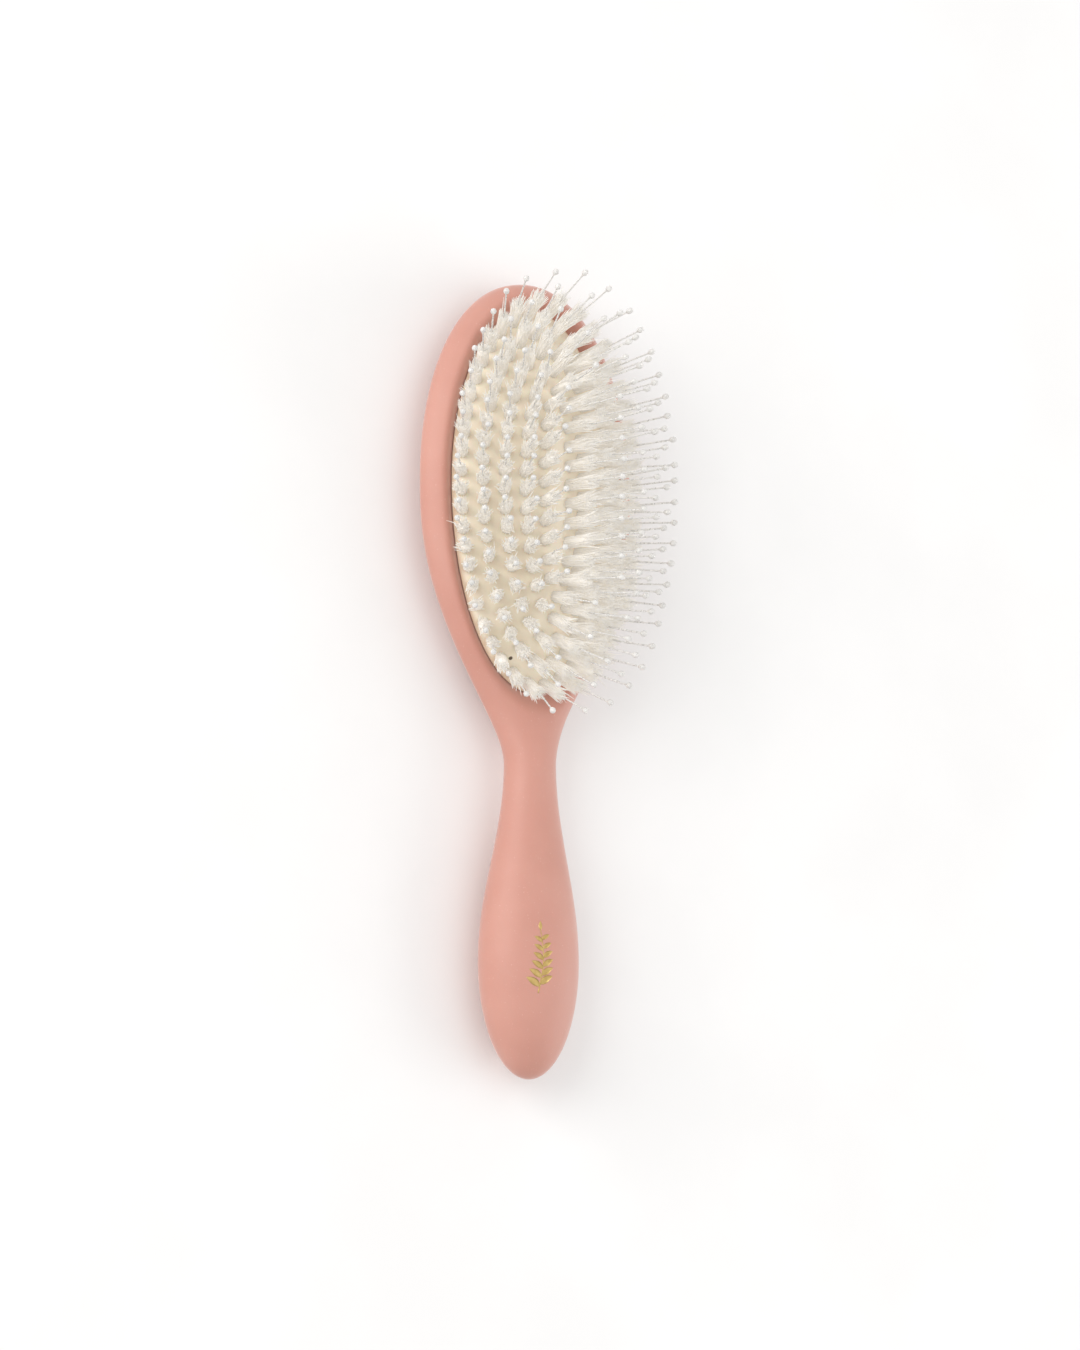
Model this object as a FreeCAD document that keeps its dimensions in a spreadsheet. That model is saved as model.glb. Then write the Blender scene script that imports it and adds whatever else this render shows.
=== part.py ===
"""Oval pneumatic hairbrush: two moulded shells, an air cushion, and rings of bristle tufts with ball pins.

The brush lies on its back. +Z is the way the bristles point, +Y runs to the tip of the head, and z = 0 is
the plane it rests on. Every piece is built about the head's widest line and placed from the sheet.
"""
import FreeCAD, Part
import math
import os

V = FreeCAD.Vector
DOC = FreeCAD.newDocument("hairbrush")
SHEET = DOC.addObject("Spreadsheet::Sheet", "sizes")

# Driving dimensions in millimetres: alias, value, what it is.
DIMENSIONS = [
    ("overall_length", 228.0, "tip of the head to the end of the handle"),
    ("head_width", 69.5, "head at its widest line"),
    ("head_tip_length", 59.6, "widest line to the tip of the head"),
    ("head_flare_length", 79.0, "widest line to the waist of the neck"),
    ("head_top", 21.5, "crown of the head's section, cut away inside the rim"),
    ("head_sag", 1.5, "head's section below the rest plane, trimmed to a flat land"),
    ("throat_dip", 2.5, "how far the top drops between the rim and the neck"),
    ("neck_width", 15.2, "waist of the neck"),
    ("neck_top", 19.1, "top of the neck above the rest plane"),
    ("neck_bottom", 5.5, "underside of the neck above the rest plane"),
    ("handle_width", 30.2, "handle at its widest"),
    ("handle_top", 23.4, "top of the handle above the rest plane"),
    ("handle_sag", 0.4, "handle's section below the rest plane, trimmed to a flat land"),
    ("handle_end_length", 33.2, "widest part of the handle to its end"),
    ("parting_height", 10.0, "joint plane between the two shells"),
    ("wall", 2.2, "shell wall"),
    ("rim_width", 7.85, "side of the head to the cushion"),
    ("rim_tip_width", 7.8, "tip of the head to the cushion"),
    ("throat_land", 20.0, "waist of the neck to the cushion"),
    ("rim_drop", 8.1, "crown of the head's section down to the cushion's edge"),
    ("throat_wall", 8.4, "solid stretch between the cushion's pocket and the hollow handle"),
    ("pad_width", "=head_width - 2 * rim_width", "cushion where it leaves the rim, across"),
    ("pad_tip_length", "=head_tip_length - rim_tip_width", "widest line to the cushion's end at the tip"),
    ("pad_throat_length", "=head_flare_length - throat_land", "widest line to the cushion's end at the neck"),
    ("pad_edge_height", "=head_top - rim_drop", "cushion's edge above the rest plane"),
    ("pad_rise", 13.2, "crown of the cushion above its edge"),
    ("pad_wall", 1.3, "rubber, measured upright"),
    ("flange_width", 2.2, "cushion's flange beyond its edge"),
    ("flange_thick", 1.2, "cushion's flange"),
    ("lip_thick", 1.1, "bezel lip over the flange"),
    ("rim_slope", 50.0, "rim's inner wall from upright, in degrees"),
    ("fit_gap", 0.15, "clearance round the cushion and its tray"),
    ("tray_floor", 1.6, "tray plate"),
    ("tray_rim_width", 1.8, "tray's clamping rim"),
    ("tray_depth", 1.2, "tray rim above its plate"),
    ("post_radius", 2.6, "posts under the tray"),
    ("peg_radius", 1.5, "locating pegs of the handle"),
    ("peg_length", 5.0, "locating pegs above the joint plane"),
    ("peg_gap", 0.05, "peg in its socket"),
    ("socket_wall", 1.5, "wall of a peg's socket and of its pillar"),
    ("vent_radius", 0.5, "air hole in the cushion"),
    ("first_inset", 2.2, "cushion's edge to the outer ring of tufts"),
    ("ring_step", 5.1, "from one ring of tufts to the next"),
    ("tuft_pitch", 5.4, "along a ring from tuft to tuft"),
    ("tuft_length", 12.6, "bristle above the cushion"),
    ("tuft_foot_radius", 1.5, "tuft where it leaves its bush"),
    ("tuft_head_radius", 2.1, "tuft at its trimmed end"),
    ("pin_length", 21.0, "pin above the cushion, to the middle of its ball"),
    ("pin_radius", 0.3, "nylon pin"),
    ("ball_radius", 0.85, "ball at the end of a pin"),
    ("pin_gap", 0.04, "pin in its tuft"),
    ("bush_radius", 1.25, "bush that holds a tuft in the cushion"),
    ("bush_head_radius", 1.45, "bush's head, inside the cushion"),
    ("bush_head_thick", 0.5, "bush's head"),
    ("bush_wall", 0.3, "wall and floor of a bush"),
    ("bush_gap", 0.06, "bush in its hole, and tuft in its bush"),
]

RING_COUNT = 5              # rings of tufts, the outermost first
STRADDLING_RINGS = 3        # outer rings, whose tufts straddle the middle line; the inner ones have one on it
CROWN_ROUNDNESS = 0.7       # 0 gives a cone, large values a parabola
LEVEL_STRETCH = 1.15        # how much faster the cushion's level lines draw in at its ends than at its sides
TIP_SQUARENESS = 2.1        # exponent of the head's outline
TIP_FULLNESS = 2.6          # exponent of the head's thickness towards its tip
FLARE_POWERS = (2.4, 1.7)   # inner and outer exponent of the head's taper into the neck
DIP_POWER = 2.5             # where along the flare the throat's dip lies
SOCKET_SPARE = 0.5          # millimetres between a peg's end and the floor of its socket
EDGE_STAND = 0.4            # millimetres that the cushion's straight edge stands above the bezel's lip
EDGE_WALL = 0.65            # thickness of the cushion's upright edge over that of its dome
HOLE_REACH = 2.4            # millimetres that the tool for a bush's hole reaches each way from the dome
SEAT_GAP = 0.3              # millimetres between a bush's head and the rubber, which curves down round it
FOOT_STAND = 0.15           # millimetres that a tuft's spread foot stands above its bush
PIN_SPLAY = 0.51            # how far a pin at the tip reaches outwards, over its length
VENT_TURN = 157.0           # degrees from the tip round to the air hole
VENT_SHARE = 0.35           # of the step from the outer ring of tufts to the next, in to the air hole
SEAM_TURN = 1.2 * math.pi   # where a section's seam lies: low on its side, clear of parting and rest planes
SPARE = 5.0                 # millimetres that a cutting tool reaches past what it cuts
WIDE = 400.0                # wider than the brush is long
TALL = 100.0                # taller than the brush


def fill_sheet():
    for row, (alias, value, meaning) in enumerate(DIMENSIONS, start=1):
        SHEET.set(f"A{row}", meaning)
        SHEET.set(f"B{row}", str(value))
        SHEET.setAlias(f"B{row}", alias)
    DOC.recompute()


def size(alias):
    """A sheet value as a number, for what is worked out in code."""
    return float(SHEET.get(alias))


def bind(thing, **expressions):
    """Bind properties to sheet expressions; place_x, place_y and place_z are parts of the placement."""
    for name, expression in expressions.items():
        path = name
        if name.startswith("place_"):
            path = "Placement.Base." + name[-1]
        thing.setExpression(path, expression)
    return thing


def add(kind, name, **expressions):
    return bind(DOC.addObject(kind, name), **expressions)


def boolean(kind, name, base, tool):
    thing = DOC.addObject(kind, name)
    thing.Base = base
    thing.Tool = tool
    return thing


def fuse(name, pieces):
    thing = DOC.addObject("Part::MultiFuse", name)
    thing.Shapes = pieces
    return thing


# ---- places along the brush -----------------------------------------------------------------------------

PIN_REACH = f"(sizes.pad_tip_length - sizes.first_inset + sizes.pin_length * {PIN_SPLAY} + sizes.ball_radius)"
HEAD_REACH = f"max(sizes.head_tip_length; {PIN_REACH})"
# The origin is midway between the furthest point at the head and the end of the handle.
HEAD_LINE = f"((sizes.overall_length - sizes.head_tip_length - {HEAD_REACH}) / 2)"
WAIST_LINE = f"({HEAD_LINE} - sizes.head_flare_length)"
HANDLE_LINE = f"({HEAD_LINE} + sizes.head_tip_length - sizes.overall_length + sizes.handle_end_length)"
HANDLE_END = f"({HANDLE_LINE} - sizes.handle_end_length)"
PAST_END = f"({HANDLE_END} - {SPARE})"
PAST_TIP = f"({HEAD_LINE} + sizes.head_tip_length + {SPARE})"
PAST_TOP = f"(max(sizes.head_top; sizes.handle_top) + {SPARE})"


def number(expression):
    """The value of a sheet expression, through a scratch cell."""
    SHEET.set("D1", "=" + expression.replace("sizes.", ""))
    DOC.recompute()
    value = SHEET.get("D1")
    SHEET.clear("D1")
    return float(getattr(value, "Value", value))


# ---- the paddle's outer form ----------------------------------------------------------------------------

def sections():
    """Expressions (y, half width, top, bottom) of the sections from the tip of the head to the handle's end.

    Each section is an ellipse. Its sizes blend between the head, the neck and the handle by factors that
    depend only on how far along its stretch it lies.
    """
    head_half = "sizes.head_width / 2"
    neck_half = "sizes.neck_width / 2"
    handle_half = "sizes.handle_width / 2"
    head_middle = "((sizes.head_top - sizes.head_sag) / 2)"
    head_depth = "((sizes.head_top + sizes.head_sag) / 2)"
    handle_middle = "((sizes.handle_top - sizes.handle_sag) / 2)"
    handle_depth = "((sizes.handle_top + sizes.handle_sag) / 2)"
    rows = []
    for degrees in (87, 83, 77, 70, 62, 53, 43, 32, 20, 8):
        along = math.sin(math.radians(degrees))
        wide = (1 - along ** TIP_SQUARENESS) ** (1 / TIP_SQUARENESS)
        deep = (1 - along ** TIP_FULLNESS) ** (1 / TIP_FULLNESS)
        rows.append((
            f"{HEAD_LINE} + sizes.head_tip_length * {along:.6f}",
            f"{head_half} * {wide:.6f}",
            f"{head_middle} + {head_depth} * {deep:.6f}",
            f"{head_middle} - {head_depth} * {deep:.6f}",
        ))
    steps = 12
    for step in range(1, steps):
        along = step / steps
        inner, outer = FLARE_POWERS
        share = (1 - along ** inner) ** outer
        dip = math.sin(math.pi * along ** DIP_POWER) ** 2
        rows.append((
            f"{HEAD_LINE} - sizes.head_flare_length * {along:.6f}",
            f"{neck_half} + ({head_half} - {neck_half}) * {share:.6f}",
            f"sizes.neck_top + (sizes.head_top - sizes.neck_top) * {share:.6f} - sizes.throat_dip * {dip:.6f}",
            f"sizes.neck_bottom - (sizes.head_sag + sizes.neck_bottom) * {share:.6f}",
        ))
    steps = 7
    for step in range(steps + 1):
        along = step / steps
        share = (1 - math.cos(math.pi * along)) / 2
        rows.append((
            f"{WAIST_LINE} + ({HANDLE_LINE} - {WAIST_LINE}) * {along:.6f}",
            f"{neck_half} + ({handle_half} - {neck_half}) * {share:.6f}",
            f"sizes.neck_top + (sizes.handle_top - sizes.neck_top) * {share:.6f}",
            f"sizes.neck_bottom - (sizes.handle_sag + sizes.neck_bottom) * {share:.6f}",
        ))
    for degrees in (16, 31, 45, 57, 68, 77, 84):
        along = math.sin(math.radians(degrees))
        round_off = math.cos(math.radians(degrees))
        rows.append((
            f"{HANDLE_LINE} - sizes.handle_end_length * {along:.6f}",
            f"{handle_half} * {round_off:.6f}",
            f"{handle_middle} + {handle_depth} * {round_off:.6f}",
            f"{handle_middle} - {handle_depth} * {round_off:.6f}",
        ))
    return rows


def paddle(name, rows, inward, closed):
    """Loft the sections, each drawn in by the expression `inward`; closed ends run to a point."""
    rings = []
    for index, (along, half_width, top, bottom) in enumerate(rows):
        ring = add(
            "Part::Ellipse", f"{name}_section_{index}",
            MajorRadius=f"{half_width} - {inward}",
            MinorRadius=f"(({top}) - ({bottom})) / 2 - {inward}",
            place_y=along,
            place_z=f"(({top}) + ({bottom})) / 2",
        )
        ring.Placement.Rotation = FreeCAD.Rotation(V(1, 0, 0), 90)
        rings.append(ring)
    ends = []
    if closed:
        ends.append(add("Part::Vertex", f"{name}_tip", Y=f"{HEAD_LINE} + sizes.head_tip_length",
                        Z="(sizes.head_top - sizes.head_sag) / 2"))
        ends.append(add("Part::Vertex", f"{name}_end", Y=HANDLE_END,
                        Z="(sizes.handle_top - sizes.handle_sag) / 2"))
    DOC.recompute()
    wires = [seamed(ring.Shape.Edges[0].Curve) for ring in rings]
    if closed:
        wires = [ends[0].Shape.Vertexes[0]] + wires + [ends[1].Shape.Vertexes[0]]
    return feature(name, Part.makeLoft(wires, True, False))


def seamed(ellipse):
    """The ellipse as a closed wire that starts and ends at the seam."""
    return Part.Wire([Part.ArcOfEllipse(ellipse, SEAM_TURN, SEAM_TURN + 2 * math.pi).toShape()])


def feature(name, shape):
    """A document object for a computed shape."""
    thing = DOC.addObject("Part::Feature", name)
    thing.Shape = shape
    return thing


def slab(name, low_y, high_y, low_z, high_z):
    """A block wider than the brush, between two y and two z expressions."""
    block = add("Part::Box", name, Length=f"{WIDE} mm", Width=f"({high_y}) - ({low_y})",
                Height=f"({high_z}) - ({low_z})", place_y=low_y, place_z=low_z)
    block.Placement.Base.x = -WIDE / 2
    return block


# ---- egg-shaped outlines about the head's widest line ---------------------------------------------------

def egg_wire(grow, level):
    """The cushion's outline grown by so much: two half ellipses that meet at the head's widest line."""
    half_width = size("pad_width") / 2 + grow
    centre = V(0, HEAD_Y, level)
    arcs = []
    for way, alias in ((1, "pad_tip_length"), (-1, "pad_throat_length")):
        end = V(0, HEAD_Y + way * (size(alias) + grow), level)
        ellipse = Part.Ellipse(end, V(-way * half_width, HEAD_Y, level), centre)
        arcs.append(Part.ArcOfEllipse(ellipse, -math.pi / 2, math.pi / 2).toShape())
    return Part.Wire(Part.__sortEdges__(arcs))


def egg_prism(grow, low, high):
    return Part.Face(egg_wire(grow, low)).extrude(V(0, 0, high - low))


def egg_flare(low_grow, low, high_grow, high):
    return Part.makeLoft([egg_wire(low_grow, low), egg_wire(high_grow, high)], True, True)


# ---- the cushion's dome ---------------------------------------------------------------------------------

def level_axes(level):
    """Half width, tip length and throat length of the dome's level line: level 0 is the edge, 1 the ridge."""
    half_width = size("pad_width") / 2
    drawn_in = LEVEL_STRETCH * half_width * level
    return half_width * (1 - level), size("pad_tip_length") - drawn_in, size("pad_throat_length") - drawn_in


def level_at(across, along):
    """Level of the line through a point, found by halving the interval in which it lies."""
    low, high = -1.0, 1.0
    for _ in range(40):
        level = (low + high) / 2
        half_width, tip, throat = level_axes(level)
        length = tip if along > 0 else throat
        inside = half_width > 0 and (across / half_width) ** 2 + (along / length) ** 2 < 1
        if inside:
            low = level
        else:
            high = level
    return low


def dome_height(level):
    """Height of the dome over its edge: a hyperbola in the level, level at the ridge, nearly straight below."""
    roundness = CROWN_ROUNDNESS
    spread = math.sqrt(roundness ** 2 + (1 + 2 * roundness) * (1 - level) ** 2)
    return size("pad_rise") * (1 + roundness - spread)


def dome_slope(level):
    """Fall of the dome for each millimetre across, at a level."""
    roundness = CROWN_ROUNDNESS
    spread = math.sqrt(roundness ** 2 + (1 + 2 * roundness) * (1 - level) ** 2)
    return size("pad_rise") * (1 + 2 * roundness) * (1 - level) / spread / (size("pad_width") / 2)


def under_dome(drop, floor):
    """Solid below the dome's surface lowered by so much, over a rectangle wider than the cushion."""
    margin = 4.0
    across_points = 19
    along_points = 33
    half_width = size("pad_width") / 2 + margin
    tip = size("pad_tip_length") + margin
    throat = size("pad_throat_length") + margin
    grid = []
    for i in range(across_points):
        across = half_width * (2 * i / (across_points - 1) - 1)
        row = []
        for j in range(along_points):
            along = (tip + throat) * j / (along_points - 1) - throat
            height = size("pad_edge_height") + dome_height(level_at(across, along)) - drop
            row.append(V(across, HEAD_Y + along, height))
        grid.append(row)
    surface = Part.BSplineSurface()
    surface.interpolate(grid)
    face = surface.toShape()
    return face.extrude(V(0, 0, -TALL)).common(egg_prism(margin / 2, floor, TALL))


# ---- the body: two shells that meet on the parting plane ------------------------------------------------

def peg_places():
    """Locating pegs: one at the handle's widest part, one half way from there to the waist."""
    return [(0, HANDLE_Y), (0, (HANDLE_Y + WAIST_Y) / 2)]


def peg_undersides():
    """Height of the handle's underside at each peg; half way to the waist the section has blended by half."""
    return [-size("handle_sag"), (size("neck_bottom") - size("handle_sag")) / 2]


def post_places():
    """Four posts under the tray, half way out to its edge."""
    across = size("pad_width") / 4
    places = []
    for along in (size("pad_tip_length") / 2, -size("pad_throat_length") / 2):
        for side in (-1, 1):
            places.append((side * across, HEAD_Y + along))
    return places


def upright(radius, place, low, high):
    return Part.makeCylinder(radius, high - low, V(place[0], place[1], low))


def make_back_shell(outer, inner):
    """Back of the head and handle, with the posts that carry the tray and the pegs that locate the front."""
    half = boolean("Part::Common", "back_half", outer, slab(
        "below_parting", PAST_END, PAST_TIP, "0", "sizes.parting_height"))
    hollow = boolean("Part::Common", "back_hollow", inner, slab(
        "above_floor", PAST_END, PAST_TIP, "sizes.wall", PAST_TOP))
    shell = boolean("Part::Cut", "back_walls", half, hollow)
    supports = []
    for index, place in enumerate(post_places()):
        supports.append(feature(f"tray_post_{index}", upright(
            size("post_radius"), place, size("wall") / 2, TRAY_BOTTOM)))
    for index, (place, underside) in enumerate(zip(peg_places(), peg_undersides())):
        pillar = upright(PILLAR_RADIUS, place, underside + size("wall") / 2, PARTING)
        peg = upright(size("peg_radius"), place, PARTING - size("wall"), PARTING + size("peg_length"))
        supports.append(feature(f"peg_{index}", pillar.fuse(peg)))
    return fuse("back_shell", [shell] + supports)


def make_front_shell(outer, inner):
    """Bezel of the head and front of the handle: rim, lip and pocket for the cushion, sockets for the pegs."""
    half = boolean("Part::Common", "front_half", outer, slab(
        "above_parting", PAST_END, PAST_TIP, "sizes.parting_height", PAST_TOP))
    throat_end = f"{HEAD_LINE} - sizes.pad_throat_length - sizes.flange_width - sizes.throat_wall"
    hollow = boolean("Part::Common", "front_hollow", inner, slab(
        "behind_throat", PAST_END, throat_end, "0", PAST_TOP))
    pillars = []
    bores = []
    for place in peg_places():
        pillars.append(upright(PILLAR_RADIUS, place, PARTING - SPARE, TALL))
        bore_top = PARTING + size("peg_length") + SOCKET_SPARE
        bores.append(upright(size("peg_radius") + size("peg_gap"), place, PARTING - SPARE, bore_top))
    hollow_round_pillars = boolean(
        "Part::Cut", "hollow_round_pillars", hollow, feature("socket_pillars", Part.makeCompound(pillars)))
    shell = boolean("Part::Cut", "front_walls", half, hollow_round_pillars)
    bezel = boolean("Part::Cut", "bezel", shell, feature("opening", pad_opening()))
    return boolean("Part::Cut", "front_shell", bezel, feature("socket_bores", Part.makeCompound(bores)))


def pad_opening():
    """Room for the cushion: a pocket for its flange, a mouth through the lip, and the rim's sloping wall."""
    gap = size("fit_gap")
    edge = size("pad_edge_height")
    reach = 12.0
    slope = math.tan(math.radians(size("rim_slope")))
    flare = egg_flare(gap, LIP_TOP, gap + reach * slope, LIP_TOP + reach)
    mouth = egg_prism(gap, PARTING - SPARE, edge)
    pocket = egg_prism(size("flange_width") + gap, PARTING - SPARE, FLANGE_TOP)
    return flare.fuse(mouth).fuse(pocket)


def make_tray():
    """Floor of the air chamber: a plate whose raised rim clamps the cushion's flange from below."""
    outline = size("flange_width")
    plate = egg_prism(outline, TRAY_BOTTOM, FLANGE_BOTTOM)
    well = egg_prism(outline - size("tray_rim_width"), TRAY_BOTTOM + size("tray_floor"), FLANGE_BOTTOM + SPARE)
    return feature("chamber_tray", plate.cut(well))


# ---- tufts, pins and bushes -----------------------------------------------------------------------------

def ring_places(ring):
    """Foot and direction of each tuft of a ring: evenly spaced along a level line, upright to the dome."""
    inset = size("first_inset") + ring * size("ring_step")
    start = 0.5 if ring < STRADDLING_RINGS else 0.0
    level = inset / (size("pad_width") / 2)
    half_width, tip, throat = level_axes(level)
    samples = 1440
    outline = []
    for index in range(samples + 1):
        turn = 2 * math.pi * index / samples
        length = tip if math.cos(turn) > 0 else throat
        outline.append((half_width * math.sin(turn), length * math.cos(turn)))
    travelled = [0.0]
    for (x0, y0), (x1, y1) in zip(outline, outline[1:]):
        travelled.append(travelled[-1] + math.hypot(x1 - x0, y1 - y0))
    count = 2 * round(travelled[-1] / size("tuft_pitch") / 2)
    places = []
    index = 0
    for step in range(count):
        wanted = travelled[-1] * (step + start) / count
        while travelled[index + 1] < wanted:
            index += 1
        share = (wanted - travelled[index]) / (travelled[index + 1] - travelled[index])
        across = outline[index][0] + share * (outline[index + 1][0] - outline[index][0])
        along = outline[index][1] + share * (outline[index + 1][1] - outline[index][1])
        length = tip if along > 0 else throat
        # the level's gradient, from the ellipse that every level line is
        towards = V(across / half_width ** 2, along / length ** 2, 0)
        crowding = across ** 2 / half_width ** 3 + LEVEL_STRETCH * along ** 2 / length ** 3
        lean = dome_slope(level) / crowding
        direction = V(towards.x * lean, towards.y * lean, 1).normalize()
        foot = V(across, HEAD_Y + along, size("pad_edge_height") + dome_height(level))
        places.append((foot, direction))
    return places


def copies(shape, places):
    """One compound of copies of a shape made about the origin, each set on a foot and turned to its way."""
    placed = []
    for foot, direction in places:
        one = shape.copy()
        one.Placement = FreeCAD.Placement(foot, FreeCAD.Rotation(V(0, 0, 1), direction))
        placed.append(one)
    return Part.makeCompound(placed)


def turned(name, outline):
    """Solid of revolution about Z from (radius, height) points."""
    points = [V(radius, 0, height) for radius, height in outline]
    profile = Part.Face(Part.makePolygon(points + points[:1]))
    return feature(name, profile.revolve(V(0, 0, 0), V(0, 0, 1), 360))


def make_bush():
    """Flanged cup: its head lies against the rubber inside, its shank fills the hole and holds the bristles."""
    bore = size("bush_radius") - size("bush_wall")
    foot = -BUSH_DEPTH - size("bush_head_thick")
    return turned("bush", [
        (0, foot), (size("bush_head_radius"), foot), (size("bush_head_radius"), -BUSH_DEPTH),
        (size("bush_radius"), -BUSH_DEPTH), (size("bush_radius"), 0),
        (bore, 0), (bore, foot + size("bush_wall")), (0, foot + size("bush_wall"))])


def make_tuft():
    """Bundle of bristle: a root inside the bush, then a flaring brush, bored for the pin."""
    bore = size("pin_radius") + size("pin_gap")
    root = size("bush_radius") - size("bush_wall") - size("bush_gap")
    root_end = -BUSH_DEPTH - size("bush_head_thick") + size("bush_wall") + size("bush_gap")
    return turned("tuft", [
        (bore, root_end), (root, root_end), (root, FOOT_STAND), (size("tuft_foot_radius"), FOOT_STAND),
        (size("tuft_head_radius"), size("tuft_length")), (bore, size("tuft_length"))])


def make_pin():
    """Nylon pin from the bottom of the bush to its ball."""
    root_end = -BUSH_DEPTH - size("bush_head_thick") + size("bush_wall") + size("bush_gap")
    shaft = add("Part::Cylinder", "pin_shaft", Radius="sizes.pin_radius")
    shaft.Height = size("pin_length") - root_end
    shaft.Placement.Base.z = root_end
    ball = add("Part::Sphere", "pin_ball", Radius="sizes.ball_radius", place_z="sizes.pin_length")
    return fuse("pin", [shaft, ball])


def make_pad(places):
    """Domed rubber membrane with a flange round its edge, a hole for each bush and an air hole."""
    outer = under_dome(0, FLANGE_BOTTOM).common(egg_prism(0, FLANGE_BOTTOM, TALL))
    wall = size("pad_wall")
    below = FLANGE_BOTTOM - SPARE
    inner = under_dome(wall, below).common(egg_prism(-EDGE_WALL * wall, below, TALL))
    flange = egg_prism(size("flange_width"), FLANGE_BOTTOM, FLANGE_BOTTOM + size("flange_thick"))
    membrane = outer.fuse(flange).cut(inner)
    hole = Part.makeCylinder(size("bush_radius") + size("bush_gap"), 2 * HOLE_REACH, V(0, 0, -HOLE_REACH))
    holes = copies(hole, places)
    vent = Part.makeCylinder(size("vent_radius"), TALL, V(*vent_place(), FLANGE_BOTTOM))
    return feature("cushion_pad", membrane.cut(holes).cut(vent))


def vent_place():
    """Air hole between the two outer rings, near the neck and left of the middle."""
    level = (size("first_inset") + VENT_SHARE * size("ring_step")) / (size("pad_width") / 2)
    half_width, _, throat = level_axes(level)
    turn = math.radians(VENT_TURN)
    return -half_width * math.sin(turn), HEAD_Y + throat * math.cos(turn)


# ---- assembly -------------------------------------------------------------------------------------------

fill_sheet()
HEAD_Y = number(HEAD_LINE)
WAIST_Y = number(WAIST_LINE)
HANDLE_Y = number(HANDLE_LINE)
PARTING = size("parting_height")
LIP_TOP = size("pad_edge_height") - EDGE_STAND
FLANGE_TOP = LIP_TOP - size("lip_thick")
FLANGE_BOTTOM = FLANGE_TOP - size("fit_gap") / 2 - size("flange_thick")
TRAY_BOTTOM = FLANGE_BOTTOM - size("tray_depth") - size("tray_floor")
PILLAR_RADIUS = size("peg_radius") + size("socket_wall")
BUSH_DEPTH = size("pad_wall") + SEAT_GAP


def main():
    rows = sections()
    outer = paddle("outer_form", rows, "0", True)
    # the hollow stops short of both ends, where the sections are little deeper than the walls
    inner = paddle("inner_form", rows[2:-3], "sizes.wall", False)
    nodes = [make_back_shell(outer, inner), make_front_shell(outer, inner), make_tray()]
    bush, tuft, pin = make_bush(), make_tuft(), make_pin()
    DOC.recompute()
    every_place = []
    for ring in range(RING_COUNT):
        places = ring_places(ring)
        every_place += places
        for name, piece in (("bristle_tufts", tuft), ("ball_pins", pin), ("tuft_bushes", bush)):
            nodes.append(feature(f"{name}_ring_{ring + 1}", copies(piece.Shape, places)))
    nodes.append(make_pad(every_place))
    DOC.recompute()
    write(nodes)


def write(nodes):
    """Check every object and write each sub-part to its own file."""
    for thing in DOC.Objects:
        if "Invalid" in thing.State or "Error" in thing.State:
            raise RuntimeError(f"{thing.Name} failed: {thing.State}")
    os.makedirs("parts", exist_ok=True)
    for node in nodes:
        if node.Shape.isNull() or not node.Shape.isValid():
            raise RuntimeError(f"{node.Label} has no valid shape")
        solids = len(node.Shape.Solids)
        print(f"{node.Label}: {solids} solids, {node.Shape.Volume / 1000:.2f} cm3")
        node.Shape.exportStep(f"parts/{node.Label}.step")


main()
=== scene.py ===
import bmesh
import bpy
import math
import numpy as np
from mathutils import Matrix, Vector


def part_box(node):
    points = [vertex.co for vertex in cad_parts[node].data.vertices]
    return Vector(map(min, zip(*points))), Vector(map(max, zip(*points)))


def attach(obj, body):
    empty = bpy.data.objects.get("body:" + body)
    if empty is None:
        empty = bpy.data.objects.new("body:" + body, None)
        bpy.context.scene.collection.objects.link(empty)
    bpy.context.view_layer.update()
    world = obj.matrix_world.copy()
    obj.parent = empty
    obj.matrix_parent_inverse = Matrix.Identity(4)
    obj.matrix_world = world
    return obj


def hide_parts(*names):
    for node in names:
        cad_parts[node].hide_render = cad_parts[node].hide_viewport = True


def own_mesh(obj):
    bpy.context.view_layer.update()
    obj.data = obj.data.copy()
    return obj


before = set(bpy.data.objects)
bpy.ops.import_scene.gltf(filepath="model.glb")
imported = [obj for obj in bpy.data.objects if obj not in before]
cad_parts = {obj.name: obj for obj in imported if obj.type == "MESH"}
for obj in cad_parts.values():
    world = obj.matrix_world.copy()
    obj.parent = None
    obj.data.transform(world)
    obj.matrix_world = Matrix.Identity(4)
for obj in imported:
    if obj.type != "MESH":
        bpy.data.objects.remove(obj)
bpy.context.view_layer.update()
MM = 0.001

# ---- sizes of the brush, in metres, as the design has them -----------------------------------------------

LENGTH = 0.228
HEAD_HALF = 0.03475
HEAD_TIP = 0.0596
HEAD_FLARE = 0.079
HEAD_TOP, HEAD_BOTTOM = 0.0215, -0.0015
THROAT_DIP = 0.0025
NECK_HALF = 0.0076
NECK_TOP, NECK_BOTTOM = 0.0191, 0.0055
HANDLE_HALF = 0.0151
HANDLE_TOP, HANDLE_BOTTOM = 0.0234, -0.0004
HANDLE_END = 0.0332
PAD_HALF, PAD_TIP, PAD_THROAT = 0.0269, 0.0518, 0.0590
PAD_EDGE, PAD_RISE = 0.0134, 0.0132
LIP_TOP = 0.0130
RIM_SLOPE = math.radians(50)
CREST_BLEND, LAND_BLEND = 0.0022, 0.0004
WALL_FOOT = 0.0019
CARVE_ABOVE = 0.010
MOUTH_GAP = 0.00015
FIRST_INSET, RING_STEP, TUFT_PITCH = 0.0022, 0.0051, 0.0054
VENT_RADIUS, VENT_TURN, VENT_SHARE = 0.0005, math.radians(157), 0.35
DIMPLE_RADIUS, DIMPLE_DEPTH = 0.00175, 0.00042
DIMPLE_LIP_RADIUS, DIMPLE_LIP_WIDTH, DIMPLE_LIP_HEIGHT = 0.00235, 0.00045, 0.00006
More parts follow.
